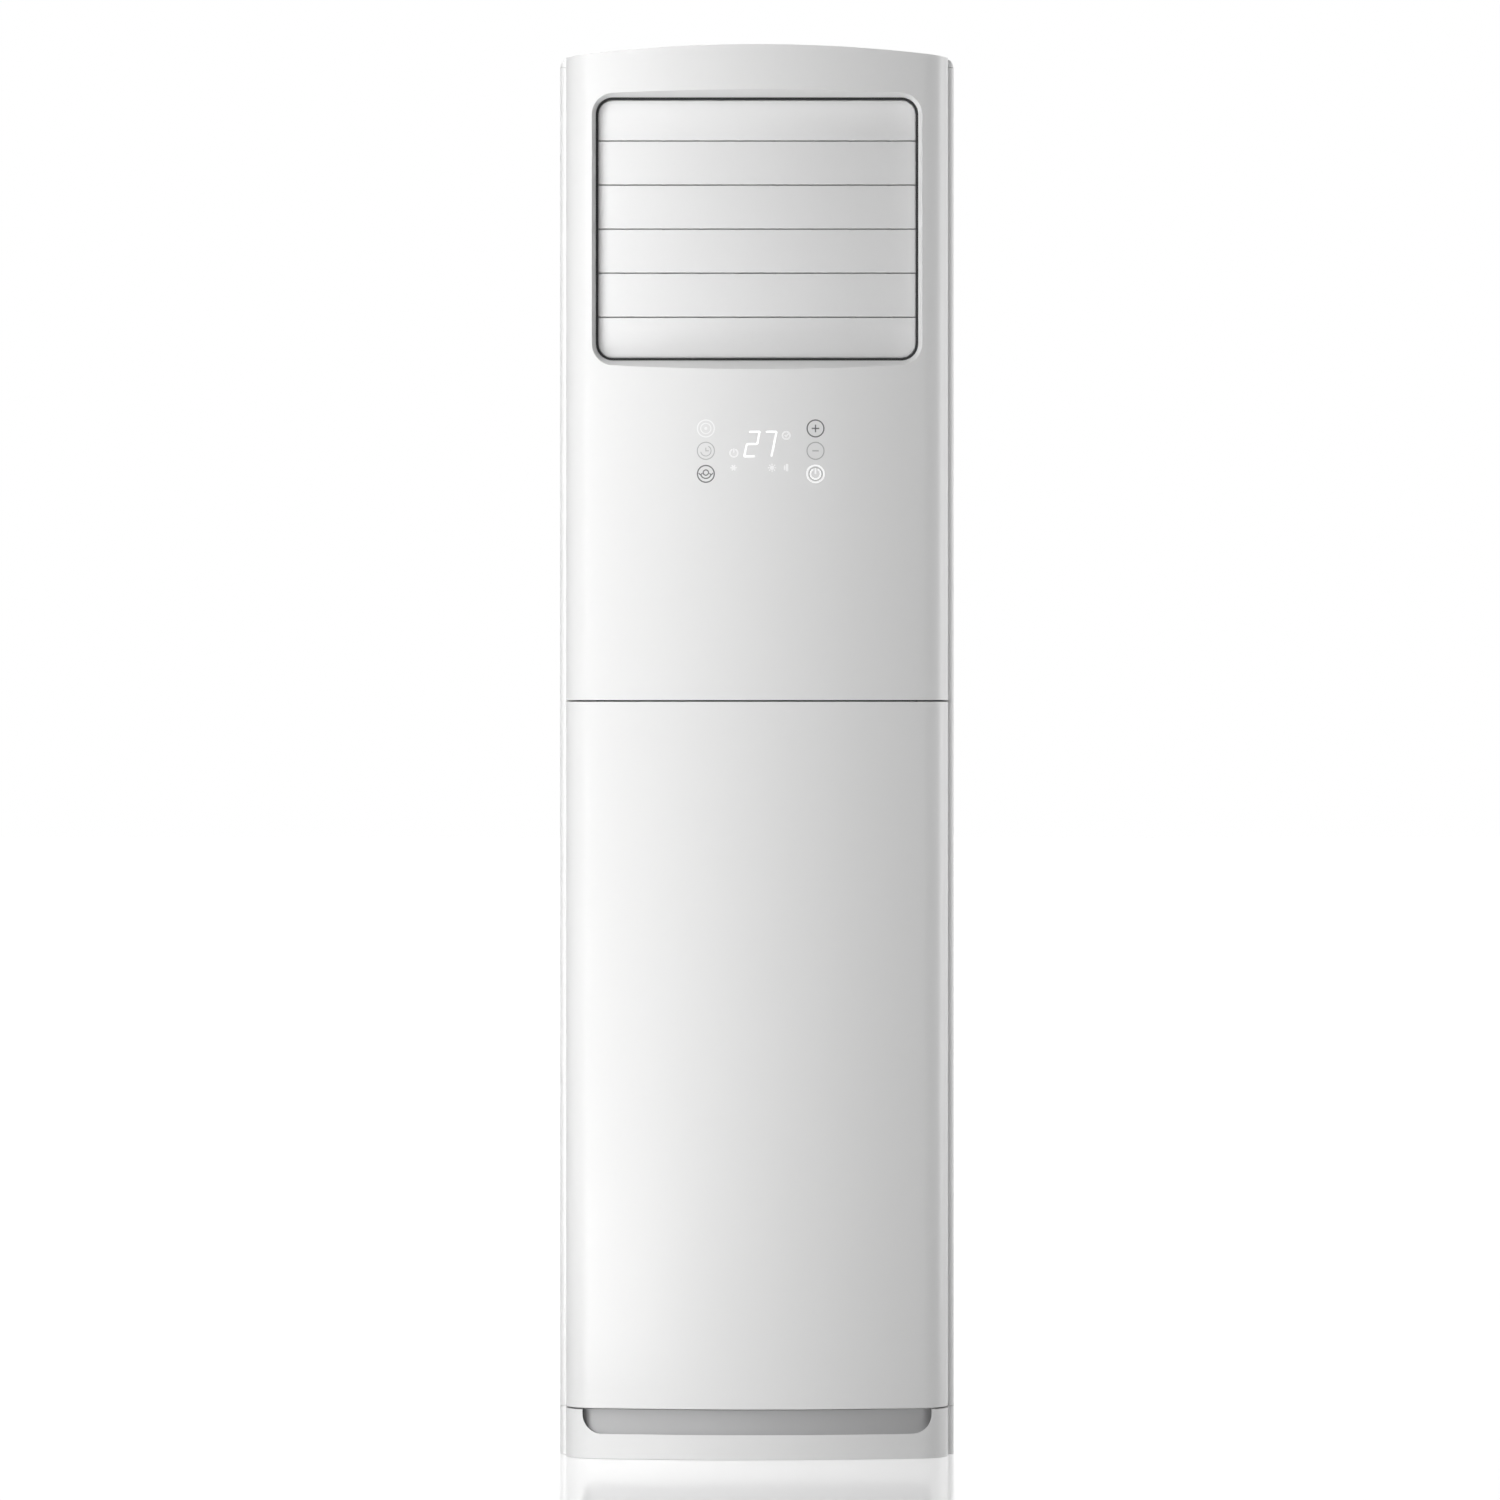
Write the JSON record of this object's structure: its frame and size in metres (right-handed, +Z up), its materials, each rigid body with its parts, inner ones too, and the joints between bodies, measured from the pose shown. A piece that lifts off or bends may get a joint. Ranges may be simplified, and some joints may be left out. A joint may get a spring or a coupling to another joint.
{
  "type": "floor standing air conditioner",
  "caption": "Tall floor standing indoor unit with bowed front panels, a wide louvred air outlet, touch keys with a lit display and a recessed plinth.",
  "frame": {"origin": "on the floor, under the middle of the cabinet", "axes": "+Z up, -Y towards the front of the cabinet, +X to the right seen from the front"},
  "size_m": [0.496, 0.31, 1.77],
  "materials": {
    "shell_white": "satin moulded",
    "sheet_white": "satin powder coat",
    "vane_white": "satin moulded",
    "recess_grey": "fine matt",
    "black_rubber": "matt",
    "zinc_sheet": "zinc plated",
    "fin_aluminium": "mill",
    "copper_pipe": "drawn copper",
    "black_plastic": "matt",
    "grey_plastic": "matt",
    "filter_mesh": "woven mesh"
  },
  "bodies": {
    "cabinet": {"plinth": "shell_white", "upper_front_panel": "shell_white", "top_cover": "shell_white", "right_intake_grille": "shell_white", "left_intake_grille": "shell_white", "right_side_panel": "sheet_white", "left_side_panel": "sheet_white", "rear_panel": "sheet_white", "base_scoop": "recess_grey", "pipe_grommet": "black_rubber", "outlet_gasket": "black_rubber", "base_pan": "zinc_sheet", "vane_motor": "zinc_sheet", "deflector_motor": "zinc_sheet", "coil_end_right": "zinc_sheet", "coil_end_left": "zinc_sheet", "partition_plate": "zinc_sheet", "blower_stand": "zinc_sheet", "blower_motor": "zinc_sheet", "motor_bracket": "zinc_sheet", "control_box": "zinc_sheet", "control_box_lid": "zinc_sheet", "control_box_beam": "zinc_sheet", "evaporator_coil": "fin_aluminium", "suction_pipe": "copper_pipe", "liquid_pipe": "copper_pipe", "drain_pan": "black_plastic", "inlet_ring": "black_plastic", "display_board": "black_plastic", "louvre_frame": "grey_plastic", "outlet_duct": "grey_plastic", "scroll_front": "grey_plastic", "scroll_rear": "grey_plastic", "right_air_filter": "filter_mesh", "left_air_filter": "filter_mesh"},
    "lower_panel": {"lower_front_panel": "shell_white"},
    "vane_1": {"vane_1": "vane_white"},
    "vane_2": {"vane_2": "vane_white"},
    "vane_3": {"vane_3": "vane_white"},
    "vane_4": {"vane_4": "vane_white"},
    "vane_5": {"vane_5": "vane_white"},
    "vane_6": {"vane_6": "vane_white"},
    "vane_motor_crank": {"vane_motor_crank": "black_plastic"},
    "vane_link": {"vane_link": "black_plastic"},
    "deflector_1": {"deflector_1": "grey_plastic"},
    "deflector_2": {"deflector_2": "grey_plastic"},
    "deflector_3": {"deflector_3": "grey_plastic"},
    "deflector_4": {"deflector_4": "grey_plastic"},
    "deflector_5": {"deflector_5": "grey_plastic"},
    "deflector_6": {"deflector_6": "grey_plastic"},
    "deflector_7": {"deflector_7": "grey_plastic"},
    "deflector_8": {"deflector_8": "grey_plastic"},
    "deflector_link": {"deflector_link": "black_plastic"},
    "blower": {"blower_wheel": "black_plastic", "wheel_nut": "zinc_sheet"}
  },
  "joints": [
    {"name": "vane_1_tilt", "type": "hinge", "parent": "cabinet", "child": "vane_1", "pos_m": [0, -0.104, 1.6795], "axis": [-1, 0, 0], "range_deg": [0, 85]},
    {"name": "vane_2_tilt", "type": "hinge", "parent": "cabinet", "child": "vane_2", "pos_m": [0, -0.104, 1.6242], "axis": [-1, 0, 0], "range_deg": [0, 85]},
    {"name": "vane_3_tilt", "type": "hinge", "parent": "cabinet", "child": "vane_3", "pos_m": [0, -0.104, 1.5689], "axis": [-1, 0, 0], "range_deg": [0, 85]},
    {"name": "vane_4_tilt", "type": "hinge", "parent": "cabinet", "child": "vane_4", "pos_m": [0, -0.104, 1.5136], "axis": [-1, 0, 0], "range_deg": [0, 85]},
    {"name": "vane_5_tilt", "type": "hinge", "parent": "cabinet", "child": "vane_5", "pos_m": [0, -0.104, 1.4583], "axis": [-1, 0, 0], "range_deg": [0, 85]},
    {"name": "vane_6_tilt", "type": "hinge", "parent": "cabinet", "child": "vane_6", "pos_m": [0, -0.104, 1.403], "axis": [-1, 0, 0], "range_deg": [0, 85]},
    {"name": "vane_motor_turn", "type": "hinge", "parent": "cabinet", "child": "vane_motor_crank", "pos_m": [-0.2, -0.104, 1.3477], "axis": [-1, 0, 0], "range_deg": [0, 85]},
    {"name": "vane_link_pivot", "type": "hinge", "parent": "vane_1", "child": "vane_link", "pos_m": [-0.2088, -0.09808, 1.69219], "axis": [-1, 0, 0], "range_deg": [-85, 0]},
    {"name": "deflector_1_turn", "type": "hinge", "parent": "cabinet", "child": "deflector_1", "pos_m": [-0.168, -0.044, 1.54125], "axis": [0, 0, 1], "range_deg": [-40, 40]},
    {"name": "deflector_2_turn", "type": "hinge", "parent": "cabinet", "child": "deflector_2", "pos_m": [-0.12, -0.044, 1.54125], "axis": [0, 0, 1], "range_deg": [-40, 40]},
    {"name": "deflector_3_turn", "type": "hinge", "parent": "cabinet", "child": "deflector_3", "pos_m": [-0.072, -0.044, 1.54125], "axis": [0, 0, 1], "range_deg": [-40, 40]},
    {"name": "deflector_4_turn", "type": "hinge", "parent": "cabinet", "child": "deflector_4", "pos_m": [-0.024, -0.044, 1.54125], "axis": [0, 0, 1], "range_deg": [-40, 40]},
    {"name": "deflector_5_turn", "type": "hinge", "parent": "cabinet", "child": "deflector_5", "pos_m": [0.024, -0.044, 1.54125], "axis": [0, 0, 1], "range_deg": [-40, 40]},
    {"name": "deflector_6_turn", "type": "hinge", "parent": "cabinet", "child": "deflector_6", "pos_m": [0.072, -0.044, 1.54125], "axis": [0, 0, 1], "range_deg": [-40, 40]},
    {"name": "deflector_7_turn", "type": "hinge", "parent": "cabinet", "child": "deflector_7", "pos_m": [0.12, -0.044, 1.54125], "axis": [0, 0, 1], "range_deg": [-40, 40]},
    {"name": "deflector_8_turn", "type": "hinge", "parent": "cabinet", "child": "deflector_8", "pos_m": [0.168, -0.044, 1.54125], "axis": [0, 0, 1], "range_deg": [-40, 40]},
    {"name": "deflector_link_pivot", "type": "hinge", "parent": "deflector_1", "child": "deflector_link", "pos_m": [-0.168, -0.022, 1.4158], "axis": [0, 0, 1], "range_deg": [-40, 40]},
    {"name": "blower_spin", "type": "hinge", "parent": "cabinet", "child": "blower", "pos_m": [0, 0.031, 0.372], "axis": [0, 1, 0], "continuous": true},
    {"name": "lower_panel_tilt", "type": "hinge", "parent": "cabinet", "child": "lower_panel", "pos_m": [0, -0.152, 0.0629], "axis": [1, 0, 0], "range_deg": [0, 20]}
  ],
  "couplings": [
    {"joint": "vane_2_tilt", "follows": "vane_1_tilt", "ratio": 1},
    {"joint": "vane_3_tilt", "follows": "vane_1_tilt", "ratio": 1},
    {"joint": "vane_4_tilt", "follows": "vane_1_tilt", "ratio": 1},
    {"joint": "vane_5_tilt", "follows": "vane_1_tilt", "ratio": 1},
    {"joint": "vane_6_tilt", "follows": "vane_1_tilt", "ratio": 1},
    {"joint": "vane_motor_turn", "follows": "vane_1_tilt", "ratio": 1},
    {"joint": "vane_link_pivot", "follows": "vane_1_tilt", "ratio": -1},
    {"joint": "deflector_2_turn", "follows": "deflector_1_turn", "ratio": 1},
    {"joint": "deflector_3_turn", "follows": "deflector_1_turn", "ratio": 1},
    {"joint": "deflector_4_turn", "follows": "deflector_1_turn", "ratio": 1},
    {"joint": "deflector_5_turn", "follows": "deflector_1_turn", "ratio": 1},
    {"joint": "deflector_6_turn", "follows": "deflector_1_turn", "ratio": 1},
    {"joint": "deflector_7_turn", "follows": "deflector_1_turn", "ratio": 1},
    {"joint": "deflector_8_turn", "follows": "deflector_1_turn", "ratio": 1},
    {"joint": "deflector_link_pivot", "follows": "deflector_1_turn", "ratio": -1}
  ]
}
